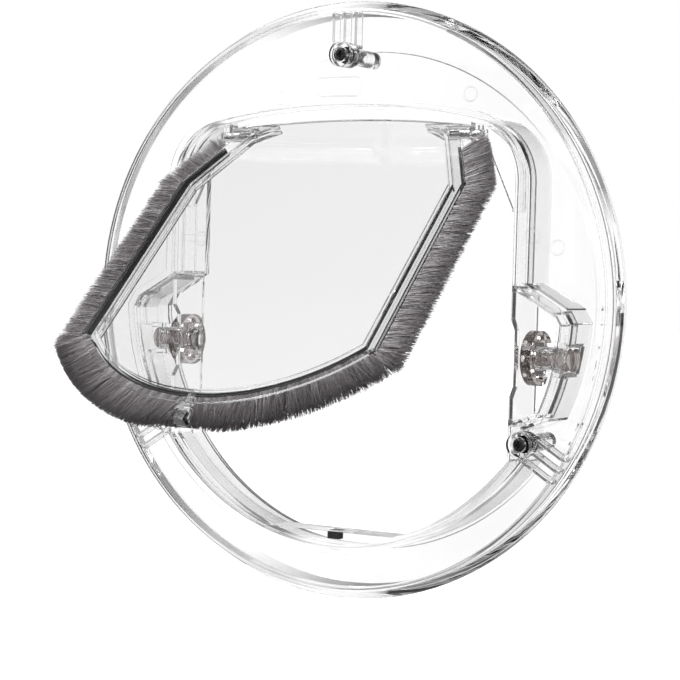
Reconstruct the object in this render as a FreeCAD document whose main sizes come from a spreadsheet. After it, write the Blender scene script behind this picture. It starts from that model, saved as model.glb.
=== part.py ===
"""Round clear cat flap for glass: two clamped frames, a swinging flap with a brush edge, and side locks.

Frame: +Z up, the front looks along -Y, millimetres. The origin is the centre of the outer rim on the
clamping plane, where the rear frame's lip meets the pane.
"""
import FreeCAD, Part
import Sketcher
import os

SIZES = [
    # Outer rim and the two clear frames
    ("rim_radius", 125.0),
    ("rim_lip", 2.0),
    ("rim_land", 3.7),
    ("rim_chamfer", 2.0),
    ("skirt_wall", 1.9),
    ("clamp_gap", 1.4),
    ("front_depth", 9.2),
    ("face_wall", 2.0),
    ("rear_depth", 20.0),
    ("shoulder_width", 18.5),
    ("shoulder_foot_width", 4.5),
    ("shoulder_foot_height", 11.5),
    ("shell_wall", 2.0),
    # Tunnel mouth
    ("flange_width", 24.4),
    ("side_inset", 20.1),
    ("top_flange", 45.4),
    ("mouth_corner", 24.0),
    ("arch_radius", 300.0),
    ("niche_shoulder", 7.3),
    ("niche_slope", 30.0),
    ("niche_bevel_slope", 59.0),
    ("niche_bevel_inset", 2.4),
    ("niche_bevel_drop", 10.3),
    ("niche_floor", 45.8),
    ("niche_floor_slope", 21.0),
    ("lip_flare", 1.8),
    ("lip_step", 1.9),
    ("bead_width", 4.8),
    ("bead_height", 10.0),
    ("sleeve_wall", 2.0),
    ("sleeve_clearance", 0.6),
    ("rear_sleeve_wall", 1.6),
    ("front_sleeve_end", 6.0),
    ("rear_sleeve_start", 1.0),
    ("panel_wall", 2.0),
    ("panel_end", 12.9),
    ("scallop_depth", 3.6),
    ("scallop_run", 4.6),
    # Screw bosses and screws
    ("boss_inset", 19.3),
    ("lower_boss_angle", 32.0),
    ("boss_radius", 5.15),
    ("boss_front", 11.4),
    ("boss_joint", 1.8),
    ("rear_boss_radius", 3.6),
    ("rib_spread", 6.0),
    ("rib_wall", 1.4),
    ("rib_relief", 0.6),
    ("screw_radius", 1.9),
    ("screw_length", 15.0),
    ("screw_fit", 0.05),
    ("screw_clearance", 0.3),
    ("screw_lead", 1.5),
    ("head_radius", 2.8),
    ("head_top_radius", 2.0),
    ("head_height", 2.0),
    ("head_sink", 2.5),
    ("recess_length", 3.1),
    ("recess_width", 0.9),
    ("recess_depth", 1.1),
    # Hinge and corner webs
    ("hinge_depth", -1.0),
    ("hinge_drop", 10.1),
    ("open_angle", 46.0),
    ("web_wall", 2.0),
    ("web_gap", 1.0),
    ("web_drop", 31.5),
    ("lug_inset", 22.3),
    ("lug_wall", 3.0),
    ("lug_radius", 3.2),
    ("pin_radius", 1.5),
    ("pin_fit", 0.1),
    ("pin_reach", 10.2),
    ("barrel_length", 12.2),
    ("barrel_gap", 0.7),
    ("barrel_radius", 3.2),
    # Flap and brush
    ("flap_side_gap", 4.9),
    ("flap_foot_gap", 5.0),
    ("flap_top", 3.0),
    ("flap_crown", 8.6),
    ("flap_arch_radius", 350.0),
    ("flap_corner_inset", 15.6),
    ("flap_corner_lean", 24.88),
    ("flap_wall", 2.0),
    ("pile_height", 8.5),
    ("pile_half_thickness", 2.6),
    ("pile_start", 7.0),
    ("channel_width", 6.5),
    ("channel_half_thickness", 2.8),
    ("groove_depth", 5.0),
    ("groove_half_height", 1.7),
    ("strip_fit", 0.2),
    ("backing_width", 4.2),
    # Flap magnet and its clip
    ("clip_foot_half", 6.7),
    ("clip_top_half", 1.6),
    ("clip_fit", 0.3),
    ("flap_magnet_half", 2.4),
    ("flap_magnet_half_depth", 1.9),
    ("flap_magnet_height", 4.0),
    # Threshold pad, magnet and keeper
    ("pad_rise", 4.4),
    ("magnet_half_width", 2.75),
    ("magnet_length", 6.0),
    ("magnet_height", 2.4),
    ("keeper_height", 0.9),
    ("magnet_sink", 0.2),
    # Side locks
    ("lock_depth", 7.0),
    ("lock_height", -20.3),
    ("wheel_radius", 11.1),
    ("wheel_width", 4.5),
    ("wheel_gap", 0.3),
    ("wheel_holes", 8.0),
    ("window_sides", 8.0),
    ("wheel_hole_radius", 1.8),
    ("wheel_hole_circle", 7.7),
    ("bolt_radius", 4.7),
    ("bolt_length", 20.1),
    ("bolt_fit", 0.2),
    ("cap_length", 3.0),
    ("cap_nose_radius", 2.6),
    ("bolt_reach_right", 1.0),
    ("bolt_reach_left", 4.1),
    ("guide_wall", 1.8),
    ("guide_back", 4.0),
    ("slot_clearance", 0.6),
]

BOSS_NAMES = ("top", "right", "left")
BOSS_ANGLES = ("0", "90 + Dim.lower_boss_angle", "270 - Dim.lower_boss_angle")
ALONG_Y = FreeCAD.Rotation(FreeCAD.Vector(1, 0, 0), -90)
ALONG_X = FreeCAD.Rotation(FreeCAD.Vector(0, 1, 0), 90)
REACH = "(3 * Dim.rim_radius)"
SKIRT = "(Dim.rim_radius - Dim.rim_land)"
BOSS_CIRCLE = f"({SKIRT} - Dim.boss_inset)"
NICHE = "(Dim.rim_radius - Dim.flange_width)"
SIDE = f"({NICHE} - Dim.side_inset)"
CROWN = "(Dim.rim_radius - Dim.top_flange)"
HINGE = f"({CROWN} - Dim.hinge_drop)"
LUG = f"({SIDE} - Dim.lug_inset)"
FLAP_SIDE = f"({SIDE} - Dim.flap_side_gap)"
FLAP_FOOT = f"({NICHE} - Dim.flap_foot_gap)"
PAD = f"({NICHE} - Dim.pad_rise)"
MAGNET_TOP = f"({PAD} + Dim.magnet_sink)"
KEEPER_TOP = f"({MAGNET_TOP} + Dim.magnet_height)"
FACE_BACK = "(Dim.front_depth - Dim.face_wall)"
FACE_MIDDLE = "(Dim.face_wall / 2 - Dim.front_depth)"

doc = FreeCAD.newDocument("cat_flap")
sheet = doc.addObject("Spreadsheet::Sheet", "Dim")
for row, (alias, value) in enumerate(SIZES, start=1):
    sheet.set(f"A{row}", alias)
    sheet.set(f"B{row}", str(value))
    sheet.setAlias(f"B{row}", alias)
doc.recompute()


def size(alias):
    """The plain number that a named cell of the sheet holds."""
    return float(sheet.get(alias))


def bind(obj, **expressions):
    """Tie properties to expressions; place_x, place_y and place_z stand for the position."""
    for key, expression in expressions.items():
        path = f".Placement.Base.{key[-1]}" if key.startswith("place_") else key
        obj.setExpression(path, expression)
    return obj


def block(name, x0, x1, y0, y1, z0, z1):
    """A box between six planes, each given as an expression."""
    obj = doc.addObject("Part::Box", name)
    return bind(obj, Length=f"({x1}) - ({x0})", Width=f"({y1}) - ({y0})", Height=f"({z1}) - ({z0})",
                place_x=x0, place_y=y0, place_z=z0)


def rod_y(name, radius, x, z, y0, y1):
    """A cylinder whose axis runs along Y from y0 to y1."""
    obj = doc.addObject("Part::Cylinder", name)
    obj.Placement = FreeCAD.Placement(FreeCAD.Vector(), ALONG_Y)
    return bind(obj, Radius=radius, Height=f"({y1}) - ({y0})", place_x=x, place_y=y0, place_z=z)


def rod_x(name, radius, y, z, x0, x1):
    """A cylinder whose axis runs along X from x0 to x1."""
    obj = doc.addObject("Part::Cylinder", name)
    obj.Placement = FreeCAD.Placement(FreeCAD.Vector(), ALONG_X)
    return bind(obj, Radius=radius, Height=f"({x1}) - ({x0})", place_x=x0, place_y=y, place_z=z)


def gable(name, half_foot, half_top, z0, z1, y0, y1):
    """A prism along Y whose sides lean in from half_foot at z0 to half_top at z1."""
    obj = doc.addObject("Part::Wedge", name)
    obj.Placement = FreeCAD.Placement(FreeCAD.Vector(), FreeCAD.Rotation(FreeCAD.Vector(1, 0, 0), 90))
    return bind(obj, Xmin=f"-({half_foot})", Xmax=half_foot, X2min=f"-({half_top})", X2max=half_top,
                Ymin=z0, Ymax=z1, Zmin=f"-({y1})", Zmax=f"-({y0})", Z2min=f"-({y1})", Z2max=f"-({y0})")


def fuse(name, shapes):
    obj = doc.addObject("Part::MultiFuse", name)
    obj.Shapes = shapes
    return obj


def common(name, shapes):
    obj = doc.addObject("Part::MultiCommon", name)
    obj.Shapes = shapes
    return obj


def cut(name, base, tool):
    obj = doc.addObject("Part::Cut", name)
    obj.Base = base
    obj.Tool = tool
    return obj


def turned(name, profile):
    """A body of revolution about its own X axis; the profile lists (along, radius) expressions."""
    body = doc.addObject("PartDesign::Body", name)
    sketch = body.newObject("Sketcher::SketchObject", f"{name}_profile")
    plane = [f for f in body.Origin.OriginFeatures if f.Role == "XY_Plane"][0]
    sketch.AttachmentSupport = [(plane, "")]
    sketch.MapMode = "FlatFace"
    start = [FreeCAD.Vector(5.0 + i, 5.0 + (i * 7) % 5, 0) for i in range(len(profile))]
    for i in range(len(profile)):
        sketch.addGeometry(Part.LineSegment(start[i], start[(i + 1) % len(profile)]), False)
    for i in range(len(profile)):
        sketch.addConstraint(Sketcher.Constraint("Coincident", i, 2, (i + 1) % len(profile), 1))
    for i, (along, radius) in enumerate(profile):
        number = sketch.addConstraint(Sketcher.Constraint("DistanceX", -1, 1, i, 1, start[i].x))
        sketch.setExpression(f"Constraints[{number}]", along)
        number = sketch.addConstraint(Sketcher.Constraint("DistanceY", -1, 1, i, 1, start[i].y))
        sketch.setExpression(f"Constraints[{number}]", radius)
    turn = body.newObject("PartDesign::Revolution", f"{name}_turn")
    turn.Profile = sketch
    turn.ReferenceAxis = (sketch, ["H_Axis"])
    turn.Angle = 360
    sketch.Visibility = False
    return body


def mouth(name, offset, y0, y1):
    """The tunnel mouth as a prism: arched head, straight sides, niches and round foot, grown by offset."""
    side = f"({SIDE} + ({offset}))"
    corner_x = f"({SIDE} - Dim.mouth_corner)"
    inner_arch = "(Dim.arch_radius - Dim.mouth_corner)"
    corner_z = f"({CROWN} - Dim.arch_radius + sqrt({inner_arch}^2 - {corner_x}^2))"
    corner_r = f"(Dim.mouth_corner + ({offset}))"
    lean_x = f"({corner_x} * (Dim.arch_radius + ({offset})) / {inner_arch})"
    core = block(f"{name}_core", f"-{lean_x}", lean_x, y0, y1, "0", f"({CROWN} + ({offset}))")
    arch = rod_y(f"{name}_arch", f"Dim.arch_radius + ({offset})", "0", f"({CROWN} - Dim.arch_radius)", y0, y1)
    crown = fuse(f"{name}_crown", [
        common(f"{name}_arched", [core, arch]),
        rod_y(f"{name}_corner_right", corner_r, corner_x, corner_z, y0, y1),
        rod_y(f"{name}_corner_left", corner_r, f"-{corner_x}", corner_z, y0, y1)])
    sides = block(f"{name}_sides", f"-{side}", side, y0, y1, f"-{REACH}", corner_z)
    ring = rod_y(f"{name}_ring", f"({NICHE} + ({offset}))", "0", "0", y0, y1)
    upper = block(f"{name}_upper", f"-{side}", side, y0, y1, "0", corner_z)
    tunnel = fuse(f"{name}_tunnel", [crown, upper, common(f"{name}_lower", [sides, ring])])
    roof = slanted(f"{name}_roof", SIDE, "Dim.niche_shoulder", "Dim.niche_slope", offset, y0, y1)
    bevel = slanted(f"{name}_bevel", f"({NICHE} - Dim.niche_bevel_inset)",
                    "(Dim.niche_shoulder - Dim.niche_bevel_drop)", "Dim.niche_bevel_slope", offset, y0, y1)
    rise = "tan(Dim.niche_floor_slope * 1 deg)"
    foot = f"(-Dim.niche_floor - ({offset}) / cos(Dim.niche_floor_slope * 1 deg))"
    floor = gable(f"{name}_floor", SIDE, f"({SIDE} + {REACH} / {rise})", foot, f"({foot} + {REACH})", y0, y1)
    niches = common(f"{name}_niches", [roof, bevel, floor, ring])
    return fuse(name, [tunnel, niches])


def slanted(name, half, height, slope, offset, y0, y1):
    """A prism below two planes that fall outwards at a slope through (half, height), moved out by offset."""
    lean = f"(1 / tan({slope} * 1 deg))"
    spread = f"({half} + ({offset}) / sin({slope} * 1 deg))"
    return gable(name, f"({spread} + {REACH} * {lean})", f"({spread} - {half} / 2)",
                 f"({height} - {REACH})", f"({height} + {half} / 2 / {lean})", y0, y1)


def flap_form(name, offset, half):
    """The closed flap's outline about the hinge axis as a prism, grown outwards by offset."""
    lean = "tan(Dim.flap_corner_lean * 1 deg)"
    side = f"(({offset}) / cos(Dim.flap_corner_lean * 1 deg))"
    ceiling = "(Dim.flap_top)"
    floor = f"(-{REACH})"
    half_top = f"({FLAP_SIDE} - Dim.flap_corner_inset + {side})"
    half_foot = f"({half_top} + (Dim.flap_top + {REACH}) * {lean})"
    y0 = f"-({half})"
    width = f"({FLAP_SIDE} + ({offset}))"
    return common(name, [
        block(f"{name}_sides", f"-{width}", width, y0, half, floor, ceiling),
        rod_y(f"{name}_foot", f"{FLAP_FOOT} + ({offset})", "0", f"-{HINGE}", y0, half),
        gable(f"{name}_corners", half_foot, half_top, floor, ceiling, y0, half)])


def at_boss(obj, index):
    """Turn what was built at the top boss to its own boss of the circle."""
    obj.Placement = FreeCAD.Placement(FreeCAD.Vector(), FreeCAD.Rotation(FreeCAD.Vector(0, 1, 0), 0))
    obj.setExpression(".Placement.Rotation.Angle", BOSS_ANGLES[index])
    return obj


def turned_about_y(name, profile, front):
    """A turned body whose own axis is laid along Y, towards the front or the rear."""
    body = turned(name, profile)
    turn = -90 if front else 90
    body.Placement = FreeCAD.Placement(FreeCAD.Vector(), FreeCAD.Rotation(FreeCAD.Vector(0, 0, 1), turn))
    return body


def front_face():
    """Round face with a chamfered edge and its turned-back skirt."""
    skirt_in = f"({SKIRT} - Dim.skirt_wall)"
    eye = f"({SIDE} / 2)"
    return turned_about_y("front_face", [
        ("Dim.clamp_gap", skirt_in), ("Dim.clamp_gap", SKIRT),
        ("Dim.front_depth - Dim.rim_chamfer / 2", SKIRT), ("Dim.front_depth", f"{SKIRT} - Dim.rim_chamfer"),
        ("Dim.front_depth", eye), (FACE_BACK, eye), (FACE_BACK, skirt_in)], True)


def rear_shell():
    """Rear flange: the lip that meets the pane, a shoulder in two slopes and the flat back."""
    wall = "Dim.shell_wall"
    foot_r = "(Dim.rim_radius - Dim.shoulder_foot_width)"
    back_r = "(Dim.rim_radius - Dim.shoulder_width)"
    eye = f"({SIDE} / 2)"
    return turned_about_y("rear_shell", [
        ("0", SKIRT), ("0", "Dim.rim_radius"), ("Dim.rim_lip", "Dim.rim_radius"),
        ("Dim.shoulder_foot_height", foot_r), ("Dim.rear_depth", back_r), ("Dim.rear_depth", eye),
        (f"Dim.rear_depth - {wall}", eye), (f"Dim.rear_depth - {wall}", f"{back_r} - {wall} / 2"),
        (f"Dim.shoulder_foot_height - {wall}", f"{foot_r} - {wall} / 2"), ("Dim.rim_lip", SKIRT)], False)


def front_boss(index):
    """Screw boss of the front frame with three ribs out to the skirt."""
    tag = f"front_boss_{BOSS_NAMES[index]}"
    rib_start = f"({BOSS_CIRCLE} + Dim.boss_radius / 2)"
    rib_end = f"({SKIRT} - Dim.skirt_wall / 2)"
    rib_back = "-(Dim.clamp_gap + Dim.rib_relief)"
    ribs = []
    for number, place in enumerate(("-Dim.rib_spread", "-Dim.rib_wall / 2", "Dim.rib_spread - Dim.rib_wall")):
        ribs.append(block(f"{tag}_rib_{number}", place, f"{place} + Dim.rib_wall", FACE_MIDDLE, rib_back,
                          rib_start, rib_end))
    cross = block(f"{tag}_cross", "-Dim.rib_spread", "Dim.rib_spread", FACE_MIDDLE, rib_back,
                  rib_start, f"{rib_start} + Dim.rib_wall")
    post = rod_y(f"{tag}_post", "Dim.boss_radius", "0", BOSS_CIRCLE, "-Dim.boss_front", "-Dim.boss_joint")
    return at_boss(fuse(tag, ribs + [cross, post]), index)


def front_boss_bore(index):
    """Counterbore and clearance hole of one front boss."""
    tag = f"front_bore_{BOSS_NAMES[index]}"
    bore = fuse(tag, [
        rod_y(f"{tag}_seat", "Dim.head_radius + Dim.screw_clearance", "0", BOSS_CIRCLE,
              "-2 * Dim.boss_front", "-(Dim.boss_front - Dim.head_sink)"),
        rod_y(f"{tag}_hole", "Dim.screw_radius + Dim.screw_clearance", "0", BOSS_CIRCLE,
              "-Dim.boss_front", "Dim.boss_front")])
    return at_boss(bore, index)


def boss_rod(name, radius, index, y0, y1):
    """A cylinder on one boss's axis."""
    angle = f"(({BOSS_ANGLES[index]}) * 1 deg)"
    return rod_y(name, radius, f"{BOSS_CIRCLE} * sin({angle})", f"{BOSS_CIRCLE} * cos({angle})", y0, y1)


def rear_boss(index):
    """Screw boss of the rear frame, from the front boss back into the shell's wall."""
    edge = f"({BOSS_CIRCLE} + Dim.rear_boss_radius)"
    slope = "((Dim.rear_depth - Dim.shoulder_foot_height) / (Dim.shoulder_width - Dim.shoulder_foot_width))"
    back = f"(Dim.shoulder_foot_height + (Dim.rim_radius - Dim.shoulder_foot_width - {edge}) * {slope})"
    return boss_rod(f"rear_boss_{BOSS_NAMES[index]}", "Dim.rear_boss_radius", index, "-Dim.boss_joint",
                    f"min(Dim.rear_depth; {back}) - Dim.shell_wall / 2")


def rear_boss_bore(index):
    """Blind hole of one rear boss that the screw's thread cuts into."""
    end = "(Dim.screw_length + Dim.head_sink - Dim.boss_front + Dim.screw_lead)"
    return boss_rod(f"rear_bore_{BOSS_NAMES[index]}", "Dim.screw_radius + Dim.screw_fit", index,
                    "-2 * Dim.boss_joint", end)


def corner_web(side):
    """Gusset in one upper corner of the tunnel, cut clear of the flap, with the lug for the hinge pin."""
    tag = f"web_{side}"
    y0 = "(Dim.hinge_depth - Dim.web_wall / 2)"
    y1 = "(Dim.hinge_depth + Dim.web_wall / 2)"
    x0, x1 = span(side, LUG, REACH)
    plate = block(f"{tag}_plate", x0, x1, y0, y1, f"({HINGE} - Dim.web_drop)", REACH)
    swing = common(f"{tag}_swing", [
        flap_form(f"{tag}_outline", "Dim.web_gap", "Dim.web_wall"),
        block(f"{tag}_below", f"-{REACH}", REACH, "-Dim.web_wall", "Dim.web_wall", f"-{REACH}",
              "-Dim.lug_radius")])
    bind(swing, place_y="Dim.hinge_depth", place_z=HINGE)
    x0, x1 = span(side, LUG, f"({LUG} + Dim.lug_wall)")
    eye = rod_x(f"{tag}_eye", "Dim.lug_radius", "Dim.hinge_depth", HINGE, x0, x1)
    stem = block(f"{tag}_stem", x0, x1, "Dim.hinge_depth - Dim.lug_radius",
                 "Dim.hinge_depth + Dim.lug_radius", HINGE, REACH)
    solid = fuse(f"{tag}_solid", [cut(f"{tag}_open", plate, swing), eye, stem])
    return common(tag, [solid, mouth(f"{tag}_form", "Dim.sleeve_wall / 2", f"-{REACH}", REACH)])


def span(side, near, far):
    """The two X planes of something that reaches from near to far on one side."""
    return (near, far) if side == "right" else (f"-({far})", f"-({near})")


def lock_rod(name, radius, side, near, far):
    """A cylinder on one lock's axis, measured outwards from the middle plane."""
    x0, x1 = span(side, near, far)
    return rod_x(name, radius, "Dim.lock_depth", "Dim.lock_height", x0, x1)


def lock_box(name, half, side, near, far, y0):
    """A square block around one lock's axis, from y0 to its rear face."""
    x0, x1 = span(side, near, far)
    return block(name, x0, x1, y0, f"(Dim.lock_depth + {half})",
                 f"(Dim.lock_height - {half})", f"(Dim.lock_height + {half})")


PANEL = f"({SIDE} + Dim.panel_wall)"
WHEEL_IN = f"({PANEL} + Dim.wheel_gap)"
WHEEL_OUT = f"({WHEEL_IN} + Dim.wheel_width)"
BOLT_HOLE = "(Dim.bolt_radius + Dim.bolt_fit)"


def lock_panel(side):
    """Flat panel between the tunnel and one niche, with a finger scallop in its front edge."""
    tag = f"panel_{side}"
    x0, x1 = span(side, SIDE, PANEL)
    panel = common(f"{tag}_trim", [
        block(f"{tag}_plate", x0, x1, FACE_MIDDLE, "Dim.panel_end",
              "(-Dim.niche_floor - Dim.sleeve_wall)", "(Dim.niche_shoulder + Dim.sleeve_wall)"),
        mouth(f"{tag}_form", "Dim.sleeve_wall / 2", FACE_MIDDLE, "Dim.panel_end")])
    scallop = doc.addObject("Part::Wedge", f"{tag}_scallop")
    half = "Dim.wheel_radius"
    bind(scallop, Xmin=x0, Xmax=x1, X2min=x0, X2max=x1, Ymin=FACE_MIDDLE,
         Ymax=f"({FACE_MIDDLE} + Dim.scallop_depth)",
         Zmin=f"(Dim.lock_height - {half} - Dim.scallop_run)",
         Zmax=f"(Dim.lock_height + {half} + Dim.scallop_run)",
         Z2min=f"(Dim.lock_height - {half})", Z2max=f"(Dim.lock_height + {half})")
    return cut(tag, panel, scallop)


def front_frame():
    """The front moulding: face, skirt, sleeve, bead, webs, lugs, bosses, ribs, lock panels and pad."""
    walls = fuse("front_walls", [
        front_face(), mouth("front_sleeve_outer", "Dim.sleeve_wall", FACE_MIDDLE, "Dim.front_sleeve_end"),
        mouth("front_bead_outer", "Dim.bead_width", "-Dim.bead_height", FACE_MIDDLE)])
    opening = fuse("front_opening", [
        mouth("front_sleeve_inner", "0", f"-{REACH}", REACH),
        mouth("front_lip_inner", "Dim.lip_flare", f"-{REACH}", "(Dim.lip_step - Dim.bead_height)")])
    pieces = [cut("front_shell", walls, opening)]
    holes = []
    guide_half = f"({BOLT_HOLE} + Dim.guide_wall)"
    guide_end = f"({NICHE} - Dim.guide_back)"
    for side in ("left", "right"):
        pieces += [corner_web(side), lock_panel(side)]
        tube = lock_box(f"guide_{side}_block", guide_half, side, f"({WHEEL_OUT} + Dim.wheel_gap)", REACH,
                        f"(Dim.lock_depth - {guide_half})")
        pieces.append(common(f"guide_{side}", [
            tube, mouth(f"guide_{side}_form", "Dim.sleeve_wall", FACE_MIDDLE, REACH)]))
        holes.append(lock_rod(f"bolt_hole_{side}", BOLT_HOLE, side, f"({SIDE} / 2)", guide_end))
        holes.append(lock_box(f"bolt_window_{side}", BOLT_HOLE, side, guide_end, REACH,
                              f"(Dim.lock_depth - {BOLT_HOLE})"))
        holes.append(rod_x(f"lug_hole_{side}", "Dim.pin_radius", "Dim.hinge_depth", HINGE,
                           *span(side, f"({LUG} - Dim.lug_wall)", f"({LUG} + 2 * Dim.lug_wall)")))
    for index in range(len(BOSS_NAMES)):
        pieces.append(front_boss(index))
        holes.append(front_boss_bore(index))
    pad_ring = rod_y("pad_ring", f"({NICHE} + Dim.sleeve_wall / 2)", "0", "0",
                     FACE_MIDDLE, "Dim.front_sleeve_end")
    pad_zone = block("pad_zone", f"-{REACH}", REACH, FACE_MIDDLE, "Dim.front_sleeve_end",
                     f"-{REACH}", f"-{PAD}")
    pieces.append(common("threshold_pad", [pad_ring, pad_zone]))
    holes.append(threshold_block("magnet_pocket", "0", f"({KEEPER_TOP} + Dim.keeper_height)"))
    return cut("front_frame", fuse("front_solid", pieces), fuse("front_holes", holes))


def rear_frame():
    """The rear moulding: flange with its lip, the sleeve that slides over the front one, and the bosses."""
    gap = "(Dim.sleeve_wall + Dim.sleeve_clearance)"
    solids = [rear_shell(), mouth("rear_sleeve_outer", f"({gap} + Dim.rear_sleeve_wall)",
                                  "-Dim.rear_sleeve_start", "Dim.rear_depth")]
    holes = [mouth("rear_sleeve_inner", gap, f"-{REACH}", REACH)]
    for index in range(len(BOSS_NAMES)):
        solids.append(rear_boss(index))
        holes.append(rear_boss_bore(index))
    for side in ("left", "right"):
        holes.append(lock_box(f"bolt_slot_{side}", f"({BOLT_HOLE} + Dim.slot_clearance)", side,
                              f"({SIDE} / 2)", f"({NICHE} + 2 * {gap})", "(-2 * Dim.rear_sleeve_start)"))
    return cut("rear_frame", fuse("rear_solid", solids), fuse("rear_holes", holes))


def clamp_screw(index):
    """Pan-head screw with a cross recess, from its seat in the front boss into the rear boss."""
    name = f"clamp_screw_{BOSS_NAMES[index]}"
    end = "(Dim.head_height + Dim.screw_length)"
    body = turned(f"{name}_body", [
        ("0", "0"), ("0", "Dim.head_top_radius"), ("Dim.head_height", "Dim.head_radius"),
        ("Dim.head_height", "Dim.screw_radius"), (end, "Dim.screw_radius"), (end, "0")])
    arm = "Dim.recess_length / 2"
    half = "Dim.recess_width / 2"
    recess = fuse(f"{name}_recess", [
        block(f"{name}_recess_a", "-Dim.recess_depth", "Dim.recess_depth", f"-{half}", half, f"-{arm}", arm),
        block(f"{name}_recess_b", "-Dim.recess_depth", "Dim.recess_depth", f"-{arm}", arm, f"-{half}", half)])
    screw = cut(name, body, recess)
    screw.Placement = FreeCAD.Placement(FreeCAD.Vector(), FreeCAD.Rotation(FreeCAD.Vector(0, 0, 1), 90))
    angle = f"(({BOSS_ANGLES[index]}) * 1 deg)"
    return bind(screw, place_x=f"{BOSS_CIRCLE} * sin({angle})", place_z=f"{BOSS_CIRCLE} * cos({angle})",
                place_y="-(Dim.boss_front - Dim.head_sink + Dim.head_height)")


def hang_on_hinge(obj):
    """Carry a piece built about the hinge axis to its place, opened towards the front."""
    obj.Placement = FreeCAD.Placement(FreeCAD.Vector(), FreeCAD.Rotation(FreeCAD.Vector(-1, 0, 0), 0))
    obj.setExpression(".Placement.Rotation.Angle", "Dim.open_angle")
    return bind(obj, place_y="Dim.hinge_depth", place_z=HINGE)


def flap_panel():
    """Clear flap: sheet with its arched head, grooved channel along the sides and foot, and two barrels."""
    rim = "Dim.channel_half_thickness"
    skin = "Dim.flap_wall / 2"
    edge = "-Dim.pile_height - (Dim.groove_depth + Dim.channel_width) / 2"
    head_half = f"({LUG} - Dim.barrel_gap)"
    head = common("flap_head", [
        block("flap_head_strip", f"-{head_half}", head_half, f"-{skin}", skin, "0", "Dim.flap_crown"),
        rod_y("flap_head_arch", "Dim.flap_arch_radius", "0", "Dim.flap_crown - Dim.flap_arch_radius",
              f"-{skin}", skin)])
    channel = cut("flap_channel", flap_form("channel_outer", "-Dim.pile_height", rim),
                  flap_form("channel_inner", "-Dim.pile_height - Dim.channel_width", f"{rim} * 2"))
    slit = "Dim.groove_half_height"
    groove = cut("flap_groove", flap_form("groove_outer", "-Dim.pile_height / 2", slit),
                 flap_form("groove_inner", "-Dim.pile_height - Dim.groove_depth", f"{slit} * 2"))
    solids = [flap_form("flap_sheet", edge, skin), head, cut("grooved_channel", channel, groove)]
    bores = []
    for side in ("left", "right"):
        x0, x1 = span(side, f"({LUG} - Dim.barrel_length)", head_half)
        solids.append(rod_x(f"barrel_{side}", "Dim.barrel_radius", "0", "0", x0, x1))
        x0, x1 = span(side, f"({LUG} - Dim.pin_reach - Dim.pin_fit)", "Dim.rim_radius")
        bores.append(rod_x(f"pin_bore_{side}", "Dim.pin_radius + Dim.pin_fit", "0", "0", x0, x1))
    return hang_on_hinge(cut("flap_panel", fuse("flap_solid", solids), fuse("flap_bores", bores)))


CLIP_SEAT = f"({HINGE} + {FLAP_FOOT} - Dim.pile_height)"
CLIP_FOOT = f"({HINGE} + {FLAP_FOOT} - Dim.clip_fit)"


def clip_wedge(name, fit, half):
    """The wedge between the two brush ends at the foot of the flap, grown by fit on its slanted sides."""
    lean = "((Dim.clip_foot_half - Dim.clip_top_half) / (Dim.pile_height - Dim.clip_fit))"
    spread = f"(({fit}) * sqrt(1 + {lean}^2))"
    drop = f"(2 * ({fit}))"
    return gable(name, f"Dim.clip_foot_half + {spread} + {drop} * {lean}", f"Dim.clip_top_half + {spread}",
                 f"-{CLIP_FOOT} - {drop}", f"-{CLIP_SEAT}", f"-({half})", half)


def clip_stem(name, fit):
    """The tongue of the clip that sits in the flap's groove between the two brush strips, grown by fit."""
    half_x = f"(Dim.clip_top_half + ({fit}))"
    half_y = f"(Dim.groove_half_height - Dim.strip_fit + ({fit}))"
    return block(name, f"-{half_x}", half_x, f"-{half_y}", half_y, f"-{CLIP_SEAT} - Dim.strip_fit",
                 f"-{CLIP_SEAT} + Dim.groove_depth - Dim.strip_fit + ({fit})")


def brush_side(side):
    """Half space of one brush strip, below the hinge."""
    x0, x1 = span(side, "0", "Dim.rim_radius")
    return block(f"brush_zone_{side}", x0, x1, "-Dim.rim_radius", "Dim.rim_radius",
                 f"-{REACH}", "-Dim.pile_start")


def brush_backing(side):
    """Flat band in the groove that carries one pile."""
    name = f"brush_backing_{side}"
    half = "(Dim.groove_half_height - Dim.strip_fit)"
    edge = "-Dim.pile_height - Dim.strip_fit"
    ring = cut(f"{name}_ring", flap_form(f"{name}_outer", edge, half),
               flap_form(f"{name}_inner", f"{edge} - Dim.backing_width", f"{half} * 2"))
    strip = common(f"{name}_half", [ring, brush_side(side)])
    return hang_on_hinge(cut(name, strip, clip_stem(f"{name}_gap", "Dim.clip_fit")))


def brush_pile(side):
    """Closed solid of one pile: its root at the groove's mouth and the bushy part outside the channel."""
    name = f"brush_pile_{side}"
    half = "(Dim.groove_half_height - Dim.strip_fit)"
    root = cut(f"{name}_root_ring", flap_form(f"{name}_root", "Dim.strip_fit * 2 - Dim.pile_height", half),
               flap_form(f"{name}_core", "-Dim.pile_height - Dim.strip_fit", f"{half} * 2"))
    tips = cut(f"{name}_tip_ring", flap_form(f"{name}_tips", "0", "Dim.pile_half_thickness"),
               flap_form(f"{name}_step", "Dim.strip_fit - Dim.pile_height", "Dim.pile_half_thickness * 2"))
    bundle = common(f"{name}_half", [fuse(f"{name}_ring", [root, tips]), brush_side(side)])
    gap = fuse(f"{name}_gap", [clip_wedge(f"{name}_gap_wedge", "Dim.clip_fit", "Dim.rim_radius"),
                               clip_stem(f"{name}_gap_stem", "Dim.clip_fit")])
    return hang_on_hinge(cut(name, bundle, gap))


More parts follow.
